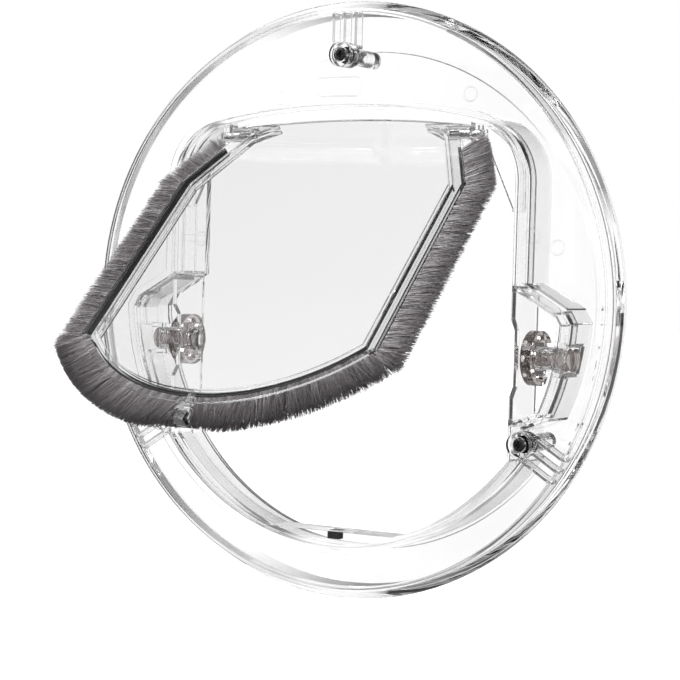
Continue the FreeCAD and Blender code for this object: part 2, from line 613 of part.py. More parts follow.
def magnet_clip():
    """Clear wedge clip at the foot of the flap, with the pocket that holds the flap magnet."""
    wedge = clip_wedge("clip_form", "0", "Dim.pile_half_thickness")
    solid = fuse("clip_solid", [wedge, clip_stem("clip_stem", "0")])
    half = "Dim.flap_magnet_half"
    depth = "Dim.flap_magnet_half_depth"
    pocket = block("clip_pocket", f"-{half}", half, f"-{depth}", depth,
                   f"-{HINGE} - {FLAP_FOOT}", f"-{CLIP_FOOT} + Dim.flap_magnet_height + Dim.magnet_sink")
    return hang_on_hinge(cut("magnet_clip", solid, pocket))


def flap_magnet():
    """Block magnet in the clip's pocket, turned with the flap about the hinge axis."""
    half = "Dim.flap_magnet_half"
    depth = "Dim.flap_magnet_half_depth"
    foot = f"({CLIP_FOOT} - Dim.magnet_sink)"
    magnet = block("flap_magnet", f"-{half}", half, f"-{depth}", depth,
                   f"-{foot}", f"-{foot} + Dim.flap_magnet_height")
    magnet.Placement = FreeCAD.Placement(FreeCAD.Vector(), FreeCAD.Rotation(FreeCAD.Vector(-1, 0, 0), 0))
    magnet.setExpression(".Placement.Rotation.Angle", "Dim.open_angle")
    lean = "(Dim.open_angle * 1 deg)"
    return bind(magnet, place_y=f"Dim.hinge_depth - {depth} * cos{lean} - {foot} * sin{lean}",
                place_z=f"{HINGE} + {depth} * sin{lean} - {foot} * cos{lean}")


def threshold_block(name, top, height):
    """One block of the stack in the threshold pocket."""
    return block(name, "-Dim.magnet_half_width", "Dim.magnet_half_width",
                 "(Dim.hinge_depth - Dim.magnet_length / 2)", "(Dim.hinge_depth + Dim.magnet_length / 2)",
                 f"(-{top} - {height})", f"-{top}")


def hinge_pin(side):
    x0, x1 = span(side, f"({LUG} - Dim.pin_reach)", f"({LUG} + Dim.lug_wall)")
    return rod_x(f"hinge_pin_{side}", "Dim.pin_radius", "Dim.hinge_depth", HINGE, x0, x1)


def on_lock_axis(obj, side, along):
    """Place a piece turned about X on one lock's axis, its own +X pointing outwards."""
    turn = 0 if side == "right" else 180
    obj.Placement = FreeCAD.Placement(FreeCAD.Vector(), FreeCAD.Rotation(FreeCAD.Vector(0, 0, 1), turn))
    sign = "" if side == "right" else "-"
    return bind(obj, place_x=f"{sign}({along})", place_y="Dim.lock_depth", place_z="Dim.lock_height")


def lock_wheel(side):
    """Smoked thumbwheel with a ring of windows around the bolt."""
    name = f"lock_wheel_{side}"
    body = rod_x(f"{name}_disc", "Dim.wheel_radius", "0", "0", "0", "Dim.wheel_width")
    holes = [rod_x(f"{name}_bore", BOLT_HOLE, "0", "0", "-Dim.wheel_width", "2 * Dim.wheel_width")]
    for number in range(int(round(size("wheel_holes")))):
        angle = f"({number} * 360 deg / Dim.wheel_holes)"
        window = doc.addObject("Part::Prism", f"{name}_window_{number}")
        window.Placement = FreeCAD.Placement(FreeCAD.Vector(), ALONG_X)
        bind(window, Polygon="Dim.window_sides", Circumradius="Dim.wheel_hole_radius",
             Height="3 * Dim.wheel_width", place_x="-Dim.wheel_width",
             place_y=f"Dim.wheel_hole_circle * cos{angle}", place_z=f"Dim.wheel_hole_circle * sin{angle}")
        holes.append(window)
    return on_lock_axis(cut(name, body, fuse(f"{name}_holes", holes)), side, WHEEL_IN)


def bolt_tip(side):
    """Where the inner end of one bolt's cap stands, measured outwards from the middle plane."""
    return f"({SIDE} - Dim.bolt_reach_{side})"


def lock_bolt(side):
    """Smoked bolt, its thread left plain."""
    profile = [("0", "0"), ("0", "Dim.bolt_radius"), ("Dim.bolt_length", "Dim.bolt_radius"),
               ("Dim.bolt_length", "0")]
    return on_lock_axis(turned(f"lock_bolt_{side}", profile), side, f"({bolt_tip(side)} + Dim.cap_length)")


def lock_cap(side):
    """Clear cap on the inner end of one bolt, narrowing to a flat nose."""
    profile = [("0", "0"), ("0", "Dim.cap_nose_radius"), ("Dim.cap_length", "Dim.bolt_radius"),
               ("Dim.cap_length", "0")]
    return on_lock_axis(turned(f"lock_cap_{side}", profile), side, bolt_tip(side))


pieces = [front_frame(), rear_frame(), flap_panel(), magnet_clip(), flap_magnet()]
pieces.append(threshold_block("threshold_magnet", MAGNET_TOP, "Dim.magnet_height"))
pieces.append(threshold_block("magnet_keeper", KEEPER_TOP, "Dim.keeper_height"))
for index in range(len(BOSS_NAMES)):
    pieces.append(clamp_screw(index))
for side in ("left", "right"):
    pieces += [brush_backing(side), brush_pile(side), hinge_pin(side)]
    pieces += [lock_wheel(side), lock_bolt(side), lock_cap(side)]

doc.recompute()
for obj in doc.Objects:
    if "Invalid" in obj.State or "Error" in obj.State:
        raise RuntimeError(f"{obj.Name} did not compute: {obj.State}")
for piece in pieces:
    piece.Label = piece.Name
    if piece.Shape.isNull() or not piece.Shape.isValid():
        raise RuntimeError(f"{piece.Name} has no valid shape")

os.makedirs("parts", exist_ok=True)
for piece in pieces:
    piece.Shape.exportStep(f"parts/{piece.Label}.step")
    print(piece.Label, len(piece.Shape.Solids), round(piece.Shape.Volume, 1))
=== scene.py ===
"""Looks of the round clear cat flap: materials, brush bristles, threaded screws, plain studio and camera."""
import math
import random

import bmesh
import bpy
from mathutils import Matrix, Vector


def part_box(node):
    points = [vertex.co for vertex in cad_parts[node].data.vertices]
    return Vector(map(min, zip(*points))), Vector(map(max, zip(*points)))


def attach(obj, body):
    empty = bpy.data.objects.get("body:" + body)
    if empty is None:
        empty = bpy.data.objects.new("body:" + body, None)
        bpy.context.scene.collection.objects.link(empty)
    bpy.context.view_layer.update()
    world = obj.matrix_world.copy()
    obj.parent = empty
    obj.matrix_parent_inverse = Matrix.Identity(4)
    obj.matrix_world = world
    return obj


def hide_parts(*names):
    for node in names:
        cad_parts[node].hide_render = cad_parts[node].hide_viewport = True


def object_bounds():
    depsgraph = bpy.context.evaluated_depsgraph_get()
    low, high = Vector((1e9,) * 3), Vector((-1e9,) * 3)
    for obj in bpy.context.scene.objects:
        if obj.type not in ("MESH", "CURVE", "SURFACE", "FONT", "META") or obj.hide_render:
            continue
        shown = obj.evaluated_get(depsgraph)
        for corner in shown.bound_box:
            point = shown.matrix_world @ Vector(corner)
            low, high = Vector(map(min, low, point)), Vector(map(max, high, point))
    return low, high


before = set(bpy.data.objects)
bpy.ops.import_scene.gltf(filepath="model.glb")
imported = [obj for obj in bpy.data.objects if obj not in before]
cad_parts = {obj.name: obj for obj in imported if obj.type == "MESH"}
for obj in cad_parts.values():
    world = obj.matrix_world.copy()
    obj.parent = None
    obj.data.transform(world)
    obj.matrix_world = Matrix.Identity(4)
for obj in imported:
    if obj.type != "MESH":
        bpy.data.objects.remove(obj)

cad_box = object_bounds()

MM = 0.001

# Finishes
PLASTIC_IOR = 1.49
PLASTIC_HAZE = 0.035
HAZE_SCALE = 90.0
RIPPLE_SCALE = 35.0
RIPPLE_STRENGTH = 0.2
RIPPLE_HEIGHT = 0.4 * MM
GRAIN_STRENGTH = 0.2
GRAIN_HEIGHT = 0.05 * MM
ROUGHNESS_SPREAD = 0.15
BRISTLE_ROUGHNESS = 0.45
EDGE_SAMPLES = 6
FRAME_EDGE = 0.32 * MM
FLAP_EDGE = 0.35 * MM
CAP_EDGE = 0.2 * MM
SMOKED_EDGE = 0.3 * MM

# Flap and brush, in the flap's own frame about the hinge axis
HINGE = Vector((0.0, -1.0 * MM, 69.5 * MM))
OPEN_ANGLE = math.radians(46.0)
FLAP_HALF_WIDTH = 75.6 * MM
FLAP_RADIUS = 95.6 * MM
FLAP_TOP = 3.0 * MM
CORNER_HALF = 60.0 * MM
CORNER_LEAN = 16.0 / 34.5
PILE_HEIGHT = 8.5 * MM
PILE_HALF_THICKNESS = 2.6 * MM
PILE_START = 7.0 * MM
ROOT_HALF_THICKNESS = 1.4 * MM
CLIP_TOP_HALF = 1.6 * MM
CLIP_GAP = 0.3 * MM

# Brush strands
STRANDS_PER_SIDE = 8500
STRAND_RADIUS = 0.15 * MM
STRAND_TAPER = 0.45
STRAND_CURL = 0.35 * MM
STRAND_SIDES = 3
STRAND_RINGS = 4
STRAND_OVERREACH = 3.4 * MM
CLIP_OVERREACH = 0.6 * MM
CLIP_BLEND = 22.0 * MM
FOOT_BLEND = CLIP_BLEND / 4.0
HINGE_FAN = 7.0 * MM
CORNER_FAN = 5.0 * MM
LEAN_SPREAD = 0.12
LOCK_LEAN = 0.10
CLIP_LEAN = 0.35
HINGE_LEAN = 0.45
SIDE_RAGGED = 0.10
FOOT_RAGGED = 0.04
LOCK_WAVES = (1900.0, 730.0)
DEPTH_KEPT = 0.9
DEPTH_SPREAD = 0.12
TONE_MEAN = 0.46
TONE_LOCK = 0.10
TONE_SPREAD = 0.17
WALL_CLEARANCE = 0.2 * MM
BRUSH_SEEDS = {"right": 11, "left": 23}
BAND_OUTER = 8.7 * MM
BAND_INNER = 9.9 * MM
BAND_FOOT_INNER = 12.6 * MM
BAND_FOOT_OUTER = 12.2 * MM
FOOT_ROOT_DEPTH = 3.4 * MM
BAND_HALF_THICKNESS = 1.4 * MM
BAND_CLIP_GAP = 0.4 * MM
BAND_FOOT_STEPS = 40
BAND_BLEND_STEPS = 6

# Bolts and their caps
SKIN_GAP = 0.02 * MM
BOLT_LENGTH = 20.1 * MM
BOLT_RADIUS = 4.65 * MM
BOLT_ROOT_RADIUS = 3.7 * MM
BOLT_PITCH = 2.4 * MM
CAP_LENGTH = 2.96 * MM

# Moulding marks, as places (x, z) on the flat of each frame, and the bare outline on the front
MARK_RADIUS = 3.0 * MM
MARK_LINE = 0.22 * MM
MARK_HEIGHT = 0.15 * MM
FRONT_MARKS = [(88.7, 28.3), (-88.7, 28.3)]
REAR_MARKS = [(87.6, 24.4), (-87.6, 24.4), (46.2, 87.3), (-46.2, 87.3), (0.9, -108.3)]
OUTLINE_CENTRE = (-1.8, 88.8)
OUTLINE_HALF = (8.4, 1.7)
OUTLINE_ROUND = 2.2
OUTLINE_LINE = 0.2 * MM

# Screws
SCREW_HEAD_RADIUS = 2.8 * MM
SCREW_HEAD_HEIGHT = 2.0 * MM
SCREW_RADIUS = 1.9 * MM
SCREW_ROOT_RADIUS = 1.35 * MM
SCREW_PITCH = 1.3 * MM
SCREW_LENGTH = 15.0 * MM
SCREW_POINT = 1.9 * MM
SCREW_TURN_STEPS = 18
SCREW_THREAD_FADE = 0.8 * MM
SCREW_CORE_SHARE = 0.98
SCREW_TIP_SHARE = 0.3
RECESS_ARM = 1.54 * MM
RECESS_HALF_WIDTH = 0.42 * MM
RECESS_DEPTH = 1.1 * MM
RECESS_TAPER = 0.8
RECESS_CORNERS = 12

# Camera: a position in front of the right half, and the photo's turn, pitch and roll
CAMERA_AT = Vector((423.6, -724.4, 13.8)) * MM
CAMERA_TURN = math.radians(30.47)
CAMERA_PITCH = math.radians(-2.067)
CAMERA_ROLL = math.radians(1.602)
IMAGE_SIZE = 680
FOCAL_PIXELS = 2000.0

# Studio: walls of light with darker bands between them, by azimuth and by height above or below the horizon
BACKDROP = 1.12
FLOOR_SIZE = 8.0
FLOOR_COLOUR = (0.92, 0.92, 0.92, 1.0)
FLOOR_ROUGHNESS = 0.5
FLOOR_GLOW = 0.78
WALL_TONES = [(0.16, (0.08, 0.08, 0.08)), (0.36, (1.0, 1.0, 1.0))]
HEIGHT_TONES = [(0.08, (0.6, 0.6, 0.6)), (0.30, (0.28, 0.28, 0.28)), (0.36, (1.0, 1.0, 1.0)),
                (0.63, (1.0, 1.0, 1.0)), (0.69, (0.18, 0.18, 0.18)), (0.92, (0.25, 0.25, 0.25)),
                (0.98, (0.8, 0.8, 0.8))]
LAMPS = [("key", (-0.9, -1.2, 1.4), 1.0, 22.0), ("fill", (1.3, -0.6, 0.9), 1.0, 12.0)]
LIGHT_BOUNCES = 32


def flap_to_row(point):
    """A point of the closed flap, measured from the hinge axis, carried to its open rest place."""
    return Matrix.Rotation(-OPEN_ANGLE, 4, "X") @ Vector(point) + HINGE


def new_object(name, verts, faces, body, smooth=True):
    mesh = bpy.data.meshes.new(name)
    mesh.from_pydata([tuple(v) for v in verts], [], faces)
    mesh.update()
    if smooth:
        mesh.polygons.foreach_set("use_smooth", [True] * len(mesh.polygons))
    obj = bpy.data.objects.new(name, mesh)
    bpy.context.scene.collection.objects.link(obj)
    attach(obj, body)
    return obj


# Materials

def new_material(name):
    material = bpy.data.materials.new(name)
    material.use_nodes = True
    nodes = material.node_tree.nodes
    nodes.clear()
    output = nodes.new("ShaderNodeOutputMaterial")
    return material, nodes, material.node_tree.links, output


def noise(nodes, links, scale, detail):
    """Noise in object coordinates, in features per metre."""
    coords = nodes.new("ShaderNodeTexCoord")
    texture = nodes.new("ShaderNodeTexNoise")
    texture.inputs["Scale"].default_value = scale
    texture.inputs["Detail"].default_value = detail
    links.new(coords.outputs["Object"], texture.inputs["Vector"])
    return texture


def ramp(nodes, links, source, stops):
    """A colour ramp fed by a value; stops are (position, colour), and a new ramp already holds two."""
    node = nodes.new("ShaderNodeValToRGB")
    elements = node.color_ramp.elements
    for index, (position, colour) in enumerate(stops):
        element = elements[index] if index < 2 else elements.new(position)
        element.position = position
        element.color = (*colour, 1.0)
    links.new(source, node.inputs["Fac"])
    return node


def bump(nodes, links, source, strength, distance):
    node = nodes.new("ShaderNodeBump")
    node.inputs["Strength"].default_value = strength
    node.inputs["Distance"].default_value = distance
    links.new(source, node.inputs["Height"])
    return node


def math_node(nodes, links, operation, first, second=None, third=None):
    """A maths node whose inputs are plain numbers or other nodes' outputs."""
    node = nodes.new("ShaderNodeMath")
    node.operation = operation
    for index, value in enumerate((first, second, third)):
        if value is None:
            continue
        if isinstance(value, (int, float)):
            node.inputs[index].default_value = value
        else:
            links.new(value, node.inputs[index])
    return node.outputs["Value"]


def ring_mark(nodes, links, axes, place):
    """Height 1 on a thin circle about a place on the X-Z plane, else 0."""
    across = math_node(nodes, links, "SUBTRACT", axes.outputs["X"], place[0] * MM)
    up = math_node(nodes, links, "SUBTRACT", axes.outputs["Z"], place[1] * MM)
    squares = math_node(nodes, links, "MULTIPLY", across, across)
    total = math_node(nodes, links, "MULTIPLY_ADD", up, up, squares)
    far = math_node(nodes, links, "SQRT", total)
    return math_node(nodes, links, "COMPARE", far, MARK_RADIUS, MARK_LINE)


def outline_mark(nodes, links, axes):
    """Height 1 on the bare rounded outline, else 0."""
    parts = []
    for axis, centre, half in zip(("X", "Z"), OUTLINE_CENTRE, OUTLINE_HALF):
        shift = math_node(nodes, links, "SUBTRACT", axes.outputs[axis], centre * MM)
        away = math_node(nodes, links, "SUBTRACT", math_node(nodes, links, "ABSOLUTE", shift), half * MM)
        over = math_node(nodes, links, "MAXIMUM", away, 0.0)
        parts.append(math_node(nodes, links, "MULTIPLY", over, over))
    far = math_node(nodes, links, "SQRT", math_node(nodes, links, "ADD", *parts))
    return math_node(nodes, links, "COMPARE", far, OUTLINE_ROUND * MM, OUTLINE_LINE)


def clear_plastic(name, tint, depth_tint, density, shadow, edge, marks=(), outline=False):
    """Clear moulded plastic: refracting, softly rounded at its edges, greyer where light runs far inside."""
    material, nodes, links, output = new_material(name)
    shader = nodes.new("ShaderNodeBsdfPrincipled")
    shader.inputs["Base Color"].default_value = (*tint, 1.0)
    shader.inputs["Transmission Weight"].default_value = 1.0
    shader.inputs["IOR"].default_value = PLASTIC_IOR
    haze = noise(nodes, links, HAZE_SCALE, 5.0)
    rough = ramp(nodes, links, haze.outputs["Fac"], [(0.35, (0.0,) * 3), (0.75, (PLASTIC_HAZE,) * 3)])
    links.new(rough.outputs["Color"], shader.inputs["Roughness"])
    ripple = noise(nodes, links, RIPPLE_SCALE, 2.0)
    relief = bump(nodes, links, ripple.outputs["Fac"], RIPPLE_STRENGTH, RIPPLE_HEIGHT)
    rounded = nodes.new("ShaderNodeBevel")
    rounded.samples = EDGE_SAMPLES
    rounded.inputs["Radius"].default_value = edge
    links.new(rounded.outputs["Normal"], relief.inputs["Normal"])
    last = relief
    if marks:
        coords = nodes.new("ShaderNodeTexCoord")
        axes = nodes.new("ShaderNodeSeparateXYZ")
        links.new(coords.outputs["Object"], axes.inputs["Vector"])
        raised = [ring_mark(nodes, links, axes, place) for place in marks]
        if outline:
            raised.append(outline_mark(nodes, links, axes))
        height = raised[0]
        for other in raised[1:]:
            height = math_node(nodes, links, "MAXIMUM", height, other)
        last = bump(nodes, links, height, 1.0, MARK_HEIGHT)
        links.new(relief.outputs["Normal"], last.inputs["Normal"])
    links.new(last.outputs["Normal"], shader.inputs["Normal"])
    through = nodes.new("ShaderNodeBsdfTransparent")
    through.inputs["Color"].default_value = (*shadow, 1.0)
    path = nodes.new("ShaderNodeLightPath")
    mix = nodes.new("ShaderNodeMixShader")
    links.new(path.outputs["Is Shadow Ray"], mix.inputs["Fac"])
    links.new(shader.outputs["BSDF"], mix.inputs[1])
    links.new(through.outputs["BSDF"], mix.inputs[2])
    links.new(mix.outputs["Shader"], output.inputs["Surface"])
    inside = nodes.new("ShaderNodeVolumeAbsorption")
    inside.inputs["Color"].default_value = (*depth_tint, 1.0)
    inside.inputs["Density"].default_value = density
    links.new(inside.outputs["Volume"], output.inputs["Volume"])
    return material


def solid_finish(name, dark, light, scale, rough, metallic=0.0):
    """An opaque finish whose colour drifts between two tones, with fine relief."""
    material, nodes, links, output = new_material(name)
    shader = nodes.new("ShaderNodeBsdfPrincipled")
    grain = noise(nodes, links, scale, 6.0)
    tone = ramp(nodes, links, grain.outputs["Fac"], [(0.3, dark), (0.7, light)])
    links.new(tone.outputs["Color"], shader.inputs["Base Color"])
    rougher = min(1.0, rough + ROUGHNESS_SPREAD)
    wear = ramp(nodes, links, grain.outputs["Fac"], [(0.3, (rough,) * 3), (0.8, (rougher,) * 3)])
    links.new(wear.outputs["Color"], shader.inputs["Roughness"])
    fine = noise(nodes, links, scale * 3.0, 4.0)
    height = bump(nodes, links, fine.outputs["Fac"], GRAIN_STRENGTH, GRAIN_HEIGHT)
    links.new(height.outputs["Normal"], shader.inputs["Normal"])
    shader.inputs["Metallic"].default_value = metallic
    links.new(shader.outputs["BSDF"], output.inputs["Surface"])
    return material


def bristle_finish(name):
    """Nylon strands: each strand has its own grey, with painted light and shade along it, read from the
    mesh's strand tone.
    """
    material, nodes, links, output = new_material(name)
    shader = nodes.new("ShaderNodeBsdfPrincipled")
    tone = nodes.new("ShaderNodeAttribute")
    tone.attribute_name = "strand_tone_and_painted_light"
    colour = ramp(nodes, links, tone.outputs["Fac"], [
        (0.0, (0.035, 0.03, 0.032)), (0.35, (0.25, 0.23, 0.237)),
        (0.65, (0.55, 0.525, 0.53)), (1.0, (0.95, 0.94, 0.94))])
    links.new(colour.outputs["Color"], shader.inputs["Base Color"])
    shader.inputs["Roughness"].default_value = BRISTLE_ROUGHNESS
    links.new(shader.outputs["BSDF"], output.inputs["Surface"])
    return material


def paint(names, material):
    for name in names:
        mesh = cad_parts[name].data
        mesh.materials.clear()
        mesh.materials.append(material)


# Brush

def brush_path():
    """Straight runs (start, end, outward normal) of the flap's right edge, and half the angle of its foot."""
    corner_z = FLAP_TOP - (FLAP_HALF_WIDTH - CORNER_HALF) / CORNER_LEAN
    tilt = math.atan(CORNER_LEAN)
    diagonal_normal = (math.cos(tilt), math.sin(tilt))
    foot_z = -HINGE.z - math.sqrt(FLAP_RADIUS ** 2 - FLAP_HALF_WIDTH ** 2)
    start_x = CORNER_HALF + (FLAP_TOP + PILE_START) * CORNER_LEAN
    foot_angle = math.asin(FLAP_HALF_WIDTH / FLAP_RADIUS)
    runs = [
        (Vector((start_x, -PILE_START)), Vector((FLAP_HALF_WIDTH, corner_z)), diagonal_normal),
        (Vector((FLAP_HALF_WIDTH, corner_z)), Vector((FLAP_HALF_WIDTH, foot_z)), (1.0, 0.0))]
    return runs, foot_angle


def edge_point(distance):
    """Place and outward normal on the flap's right outline, a given distance from the hinge end."""
    runs, foot_angle = brush_path()
    for start, end, normal in runs:
        length = (end - start).length
        if distance <= length:
            place = start.lerp(end, distance / length)
            return place, Vector(normal)
        distance -= length
    angle = foot_angle - distance / FLAP_RADIUS
    normal = Vector((math.sin(angle), -math.cos(angle)))
    return Vector((0.0, -HINGE.z)) + normal * FLAP_RADIUS, normal


def edge_length():
    runs, foot_angle = brush_path()
    return sum((end - start).length for start, end, _ in runs) + foot_angle * FLAP_RADIUS


def smooth_normal(distance, reach):
    """The outline's normal averaged over a short stretch, so that strands fan out round a corner."""
    total = Vector((0.0, 0.0))
    for step in range(-2, 3):
        where = min(max(distance + step * reach / 2.0, 0.0), edge_length())
        total += edge_point(where)[1]
    return total.normalized()


def make_brush(side):
    """All strands of one pile as one mesh, each strand a thin tapered prism that bends and fans out."""
    sign = 1.0 if side == "right" else -1.0
    rng = random.Random(BRUSH_SEEDS[side])
    total = edge_length()
    foot_start = total - brush_path()[1] * FLAP_RADIUS
    verts, faces, tones_with_painted_light = [], [], []
    for number in range(STRANDS_PER_SIDE):
        along = (number + rng.random()) / STRANDS_PER_SIDE * total
        place, normal = edge_point(along)
        fan = smooth_normal(along, CORNER_FAN)
        on_foot = min(1.0, max(0.0, (along - foot_start) / FOOT_BLEND))
        sunk = FOOT_ROOT_DEPTH * on_foot
        # Share of painted shade: the whole right pile and the foot of the left pile are painted as shaded,
        # the rest as lit.
        painted_shade_share = 1.0 if side == "right" else on_foot
        root = place - normal * (PILE_HEIGHT - WALL_CLEARANCE + sunk)
        if root.x < CLIP_TOP_HALF + CLIP_GAP:
            continue
        tangent = Vector((-fan.y, fan.x))
        near_clip = max(0.0, 1.0 - (total - along) / CLIP_BLEND)
        lock_of_hair = math.sin(along * LOCK_WAVES[0] + 2.0 * math.sin(along * LOCK_WAVES[1]))
        near_hinge = max(0.0, 1.0 - along / HINGE_FAN)
        lean = rng.gauss(0.0, LEAN_SPREAD) + LOCK_LEAN * lock_of_hair
        lean += CLIP_LEAN * near_clip + HINGE_LEAN * near_hinge
        direction = (fan + tangent * lean).normalized()
        reach = STRAND_OVERREACH + (CLIP_OVERREACH - STRAND_OVERREACH) * near_clip
        ragged = SIDE_RAGGED + (FOOT_RAGGED - SIDE_RAGGED) * on_foot
        length = (PILE_HEIGHT + sunk + reach) * (1.0 - ragged * abs(rng.gauss(0.0, 1.0)))
        depth = rng.uniform(-1.0, 1.0)
        root_y = depth * ROOT_HALF_THICKNESS
        tip_share = max(-1.0, min(1.0, depth * DEPTH_KEPT + rng.gauss(0.0, DEPTH_SPREAD)))
        tip_y = tip_share * (PILE_HALF_THICKNESS - WALL_CLEARANCE)
        tone = min(1.0, max(0.0, rng.gauss(TONE_MEAN + TONE_LOCK * lock_of_hair, TONE_SPREAD)))
        curl = rng.gauss(0.0, STRAND_CURL)
        axis = Vector((sign * direction.x, 0.0, direction.y))
        side_axis = Vector((sign * tangent.x, 0.0, tangent.y))
        base = Vector((sign * root.x, root_y, root.y))
        rings = []
        for ring in range(STRAND_RINGS):
            t = ring / (STRAND_RINGS - 1)
            centre = base + axis * (length * t) + side_axis * (curl * t * t)
            centre.y = root_y + (tip_y - root_y) * t ** 0.6
            radius = STRAND_RADIUS * (1.0 - STRAND_TAPER * t)
            ring_start = len(verts)
            for corner in range(STRAND_SIDES):
                turn = 2.0 * math.pi * corner / STRAND_SIDES + depth
                shift = side_axis * (math.cos(turn) * radius) + Vector((0.0, math.sin(turn) * radius, 0.0))
                verts.append(flap_to_row(centre + shift))
                # Painted light and shade along each strand: on the left a strand is painted dimmest half way
                # up and lightest at its tip; on the right and at the foot it is painted darker towards its
                # tip, as painted shade.
                lit = 0.85 - 0.25 * math.sin(math.pi * t) + 0.40 * t * t
                painted_shade_tone = 1.22 - 0.30 * on_foot - 0.62 * t
                tones_with_painted_light.append(min(1.0, tone * (lit + (painted_shade_tone - lit) * painted_shade_share)))
            rings.append(ring_start)
        for low, high in zip(rings, rings[1:]):
            for corner in range(STRAND_SIDES):
                after = (corner + 1) % STRAND_SIDES
                faces.append((low + corner, low + after, high + after, high + corner))
        faces.append(tuple(rings[-1] + corner for corner in range(STRAND_SIDES)))
        faces.append(tuple(rings[0] + corner for corner in reversed(range(STRAND_SIDES))))
    brush = new_object(f"bristles_{side}", verts, faces, "flap")
    # Each strand's own random grey, times its painted light and shade along the strand.
    layer = brush.data.attributes.new("strand_tone_and_painted_light", "FLOAT", "POINT")
    layer.data.foreach_set("value", tones_with_painted_light)
    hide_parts(f"brush_pile_{side}")
    return brush


def band_outline():
    """Points and mitred outward normals along the right edge, ending at the clip, with a share of foot."""
    runs, foot_angle = brush_path()
    normals = [Vector(run[2]) for run in runs]
    normals.append(Vector((math.sin(foot_angle), -math.cos(foot_angle))))
    rows = [(runs[0][0], normals[0], 0.0)]
    for index, (_, end, _) in enumerate(runs):
        before, after = normals[index], normals[index + 1]
        rows.append((end, (before + after) / (1.0 + before.dot(after)), 0.0))
    last = foot_angle - math.asin((CLIP_TOP_HALF + BAND_CLIP_GAP) / FLAP_RADIUS)
    for step in range(1, BAND_FOOT_STEPS + 1):
        angle = foot_angle - last * step / BAND_FOOT_STEPS
        normal = Vector((math.sin(angle), -math.cos(angle)))
        foot = min(1.0, step / BAND_BLEND_STEPS)
        rows.append((Vector((0.0, -HINGE.z)) + normal * FLAP_RADIUS, normal, foot))
    return rows


def make_band(side):
    """Black carrier band of one pile, thin along the side and deeper in the groove at the foot."""
    sign = 1.0 if side == "right" else -1.0
    verts, faces = [], []
    for place, normal, foot in band_outline():
        outer = BAND_OUTER + (BAND_FOOT_OUTER - BAND_OUTER) * foot
        inner = BAND_INNER + (BAND_FOOT_INNER - BAND_INNER) * foot
        for depth, y in ((outer, -1.0), (outer, 1.0), (inner, 1.0), (inner, -1.0)):
            point = place - normal * depth
            verts.append(flap_to_row((sign * point.x, y * BAND_HALF_THICKNESS, point.y)))
    count = len(verts) // 4
    for row in range(count - 1):
        for corner in range(4):
            after = (corner + 1) % 4
            faces.append((row * 4 + corner, row * 4 + after, row * 4 + 4 + after, row * 4 + 4 + corner))
    faces.append((3, 2, 1, 0))
    faces.append(tuple(len(verts) - 4 + corner for corner in range(4)))
    band = new_object(f"carrier_band_{side}", verts, faces, "flap", smooth=False)
    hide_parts(f"brush_backing_{side}")
    return band


# Bolts and caps

def make_bolt(side):
    """Smoked bolt with a rounded coarse thread, inner end first, along its own X."""
    low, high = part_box(f"lock_bolt_{side}")
    centre = (low + high) / 2.0
    sign = 1.0 if side == "right" else -1.0
    around, steps = 40, 110
    verts, faces = [], []
    for step in range(steps + 1):
        along = SKIN_GAP + (BOLT_LENGTH - 2.0 * SKIN_GAP) * step / steps
        for corner in range(around):
            turn = 2.0 * math.pi * corner / around
            wave = 0.5 + 0.5 * math.cos(2.0 * math.pi * along / BOLT_PITCH - turn)
            ease = min(1.0, along / BOLT_PITCH, (BOLT_LENGTH - along) / (BOLT_PITCH * 0.4))
            radius = BOLT_RADIUS - (BOLT_RADIUS - BOLT_ROOT_RADIUS) * (1.0 - wave) * ease
            x = (low.x if side == "right" else high.x) + sign * along
            verts.append(Vector((x, centre.y + radius * math.cos(turn), centre.z + radius * math.sin(turn))))
    for step in range(steps):
        for corner in range(around):
            after = (corner + 1) % around
            a, b = step * around, (step + 1) * around
            faces.append((a + corner, b + corner, b + after, a + after))
    faces.append(tuple(reversed(range(around))))
    faces.append(tuple(steps * around + corner for corner in range(around)))
    bolt = new_object(f"threaded_bolt_{side}", verts, faces, f"bolt_{side}")
    tidy_normals(bolt)
    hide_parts(f"lock_bolt_{side}")
    return bolt


def make_cap(side):
    """Clear domed cap on the inner end of one bolt."""
    low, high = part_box(f"lock_cap_{side}")
    centre = (low + high) / 2.0
    sign = 1.0 if side == "right" else -1.0
    tip = (low.x if side == "right" else high.x) + sign * SKIN_GAP
    around, rings = 48, 14
    verts = [Vector((tip, centre.y, centre.z))]
    faces = []
    for ring in range(1, rings + 1):
        angle = math.pi / 2.0 * ring / rings
        for corner in range(around):
            turn = 2.0 * math.pi * corner / around
            radius = BOLT_RADIUS * math.sin(angle)
            x = tip + sign * (CAP_LENGTH - 2.0 * SKIN_GAP) * (1.0 - math.cos(angle))
            verts.append(Vector((x, centre.y + radius * math.cos(turn), centre.z + radius * math.sin(turn))))
    for corner in range(around):
        faces.append((0, 1 + corner, 1 + (corner + 1) % around))
    for ring in range(rings - 1):
        for corner in range(around):
            after = (corner + 1) % around
            a, b = 1 + ring * around, 1 + (ring + 1) * around
            faces.append((a + corner, b + corner, b + after, a + after))
    faces.append(tuple(1 + (rings - 1) * around + corner for corner in range(around)))
    cap = new_object(f"domed_cap_{side}", verts, faces, f"bolt_{side}")
    tidy_normals(cap)
    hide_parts(f"lock_cap_{side}")
    return cap


def tidy_normals(obj):
    """Turn all faces outwards and shade the flat ends flat."""
    work = bmesh.new()
    work.from_mesh(obj.data)
    bmesh.ops.recalc_face_normals(work, faces=work.faces)
    for face in work.faces:
        if len(face.verts) > 4:
            face.smooth = False
            for edge in face.edges:
                edge.smooth = False
    work.to_mesh(obj.data)
    work.free()


# Screws

